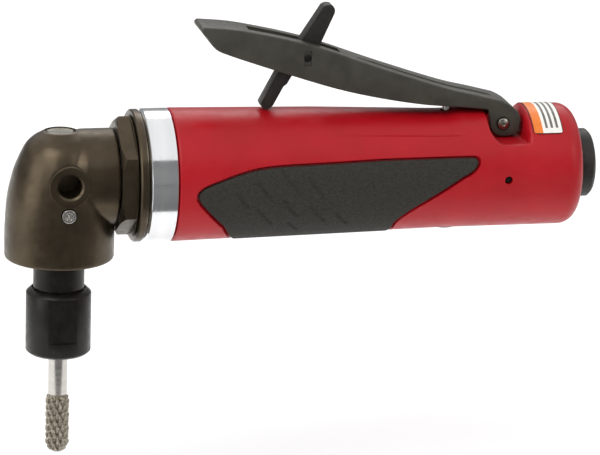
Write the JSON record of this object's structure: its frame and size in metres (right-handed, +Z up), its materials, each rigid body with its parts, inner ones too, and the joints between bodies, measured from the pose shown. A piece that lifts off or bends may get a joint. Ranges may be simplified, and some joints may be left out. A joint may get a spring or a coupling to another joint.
{
  "type": "die grinder",
  "caption": "Right-angle air die grinder: bevel-gear head with collet and carbide burr, vane motor in a tapered grip, throttle lever with safety lock, rear air inlet.",
  "frame": {"origin": "middle of the tool's bounding box", "axes": "+X along the motor axis from the head to the air inlet, +Z up away from the burr, Y across the grip"},
  "size_m": [0.1986, 0.0448, 0.1522],
  "materials": {
    "bronze_anodised": "dark bronze hard anodised aluminium, satin",
    "steel": "machined steel",
    "bearing_steel": "ground bearing steel",
    "black_oxide": "black oxide on steel, satin",
    "cast_iron": "hardened, matt",
    "aluminium": "turned, bright",
    "brass": "machined",
    "seal_rubber": "smooth",
    "felt": "pressed felt",
    "phenolic": "cloth-filled laminate",
    "red_composite": "red glass-filled composite, satin",
    "grip_rubber": "moulded grip, fine stipple",
    "label_film": "printed film",
    "black_composite": "black glass-filled composite, satin",
    "carbide": "tungsten carbide on a bright steel shank"
  },
  "bodies": {
    "root": {"head_housing": "bronze_anodised", "head_cap_plug": "steel", "grease_fitting": "steel", "head_lock_nut": "bronze_anodised", "pinion_front_bearing": "bearing_steel", "pinion_bearing_spacer": "steel", "pinion_rear_bearing": "bearing_steel", "pinion_retaining_ring": "black_oxide", "upper_spindle_bearing": "bearing_steel", "lower_spindle_bearing": "bearing_steel", "spindle_seal": "felt", "bearing_retainer": "black_oxide", "motor_barrel": "aluminium", "preload_washer": "steel", "front_end_plate": "cast_iron", "front_motor_bearing": "bearing_steel", "cylinder_liner": "cast_iron", "rear_end_plate": "cast_iron", "rear_motor_bearing": "bearing_steel", "bearing_cap": "aluminium", "motor_lock_ring": "black_oxide", "air_transfer_tube": "brass", "motor_gasket": "seal_rubber", "housing_shell": "red_composite", "grip_overmould": "grip_rubber", "rear_label": "label_film", "valve_bushing": "brass", "stem_seal": "seal_rubber", "valve_spring": "steel", "valve_plug": "black_oxide", "inlet_bushing": "steel", "inlet_seal": "seal_rubber", "inlet_screen": "brass", "bushing_pin": "black_oxide", "muffler_sleeve": "felt", "exhaust_cap": "black_composite", "lever_hinge_pin": "steel"},
    "rotor": {"rotor": "steel", "vane_1": "phenolic", "vane_2": "phenolic", "vane_3": "phenolic", "vane_4": "phenolic", "vane_5": "phenolic", "bevel_pinion": "cast_iron"},
    "spindle": {"spindle": "black_oxide", "bevel_gear": "cast_iron"},
    "collet": {"collet": "steel"},
    "collet_nut": {"collet_nut": "black_oxide"},
    "burr": {"burr": "carbide"},
    "lever": {"throttle_lever": "black_composite", "lock_pin": "steel", "lock_spring": "steel"},
    "safety_lock": {"safety_lock": "black_composite"},
    "valve": {"throttle_plunger": "steel"}
  },
  "joints": [
    {"name": "lever_press", "type": "hinge", "parent": "root", "child": "lever", "pos_m": [0.06725, 0, 0.03529], "axis": [0, -1, 0], "range_deg": [0, 7], "stiffness_Nm_per_rad": 2, "springref_deg": -8.59},
    {"name": "lock_fold", "type": "hinge", "parent": "lever", "child": "safety_lock", "pos_m": [-0.00015, 0, 0.05919], "axis": [0, 1, 0], "range_deg": [0, 42.5]},
    {"name": "valve_travel", "type": "slide", "parent": "root", "child": "valve", "axis": [0, 0, -1], "range_m": [0, 0.0023], "deforming": ["valve_spring"]},
    {"name": "rotor_spin", "type": "hinge", "parent": "root", "child": "rotor", "pos_m": [-0.01615, 0, 0.01919], "axis": [1, 0, 0], "continuous": true},
    {"name": "spindle_spin", "type": "hinge", "parent": "root", "child": "spindle", "pos_m": [-0.08115, 0, -0.00081], "axis": [0, 0, 1], "continuous": true},
    {"name": "collet_release", "type": "slide", "parent": "spindle", "child": "collet", "axis": [0, 0, -1], "range_m": [0, 0.00187]},
    {"name": "nut_turn", "type": "hinge", "parent": "collet", "child": "collet_nut", "pos_m": [-0.08115, 0, -0.03081], "axis": [0, 0, -1], "range_deg": [0, 540]},
    {"name": "burr_slide", "type": "slide", "parent": "collet", "child": "burr", "axis": [0, 0, -1], "range_m": [0, 0.02]}
  ],
  "couplings": [
    {"joint": "lock_fold", "follows": "lever_press", "ratio": 6},
    {"joint": "valve_travel", "follows": "lever_press", "m_per_rad": 0.0179},
    {"joint": "spindle_spin", "follows": "rotor_spin", "ratio": 0.8},
    {"joint": "nut_turn", "follows": "collet_release", "rad_per_m": 5026.5}
  ]
}
